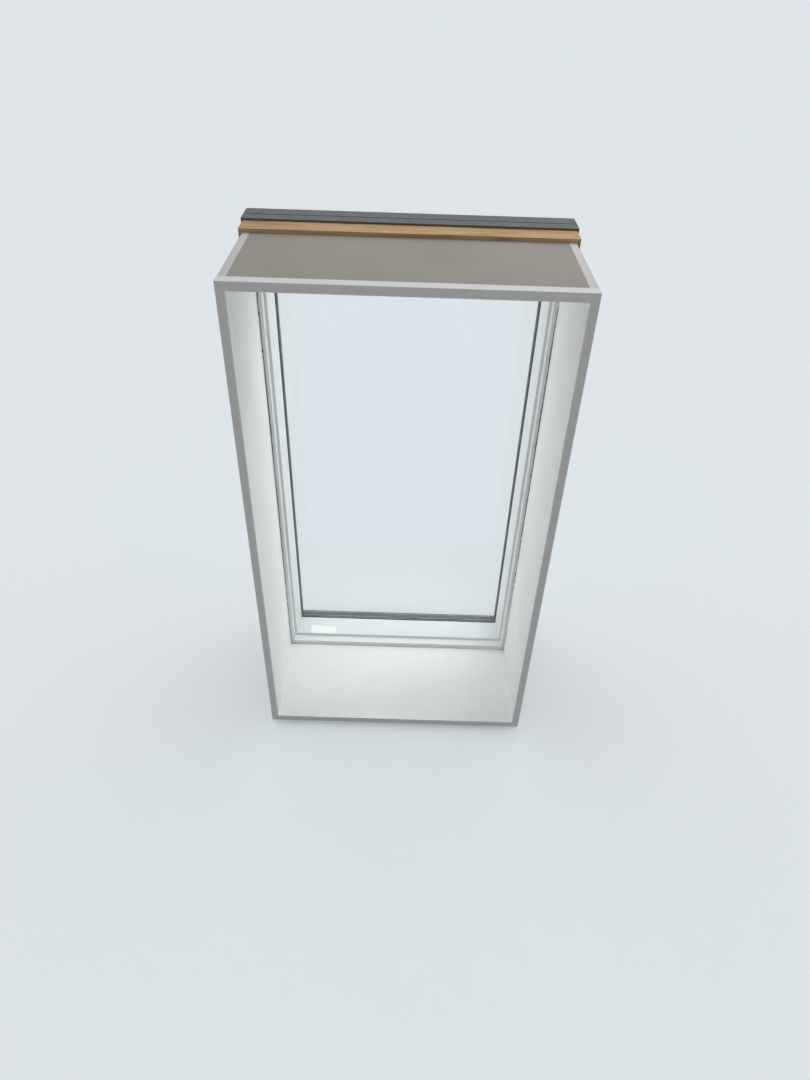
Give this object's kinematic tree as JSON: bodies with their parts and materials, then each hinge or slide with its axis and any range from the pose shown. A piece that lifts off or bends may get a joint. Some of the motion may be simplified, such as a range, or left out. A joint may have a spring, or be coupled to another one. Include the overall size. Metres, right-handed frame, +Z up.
{
  "type": "roof skylight",
  "caption": "Fixed roof skylight: stepped white timber frame with insulated glass, aluminium caps and skirts, deck brackets, and a white board lining to the room side.",
  "frame": {"origin": "centre of the object's footprint, at the lowest face of the sill cladding", "axes": "+Z up the roof slope from sill to head, +Y outward through the glass to the sky, X along the width; the room side faces -Y"},
  "size_m": [0.626, 0.318, 0.9816],
  "materials": {
    "painted_pine": "white factory paint, satin",
    "painted_board": "white emulsion on gypsum board, matt",
    "edge_trim": "white trim, satin",
    "caulk": "painted caulk, cracked and soiled",
    "inner_glass": "clear laminated",
    "outer_glass": "clear toughened",
    "spacer": "matt dark grey",
    "drying_beads": "pale mineral beads",
    "black_plastic": "matt",
    "black_seal": "matt",
    "cladding": "dark grey lacquer, satin",
    "galvanised_steel": "zinc coated",
    "stainless_steel": "plain"
  },
  "bodies": {
    "root": {"bracket_left_lower": "galvanised_steel", "bracket_left_upper": "galvanised_steel", "bracket_right_lower": "galvanised_steel", "bracket_right_upper": "galvanised_steel", "bracket_screws": "galvanised_steel", "butyl_seals": "black_seal", "cap_head": "cladding", "cap_left": "cladding", "cap_right": "cladding", "cap_screws": "stainless_steel", "cap_sill": "cladding", "cap_washers": "black_seal", "caulk_bead": "caulk", "corner_screws": "galvanised_steel", "desiccant": "drying_beads", "edge_seal": "black_seal", "edge_trim_head": "edge_trim", "edge_trim_left": "edge_trim", "edge_trim_right": "edge_trim", "edge_trim_sill": "edge_trim", "frame_head": "painted_pine", "frame_left": "painted_pine", "frame_right": "painted_pine", "frame_sill": "painted_pine", "inner_gasket": "black_seal", "inner_pane": "inner_glass", "lining_head": "painted_board", "lining_left": "painted_board", "lining_right": "painted_board", "lining_sill": "painted_board", "outer_gasket": "black_seal", "outer_pane": "outer_glass", "setting_blocks": "black_plastic", "skirt_head": "cladding", "skirt_left": "cladding", "skirt_nails": "stainless_steel", "skirt_right": "cladding", "skirt_sill": "cladding", "spacer_bars": "spacer", "spacer_keys": "black_plastic"}
  },
  "joints": []
}
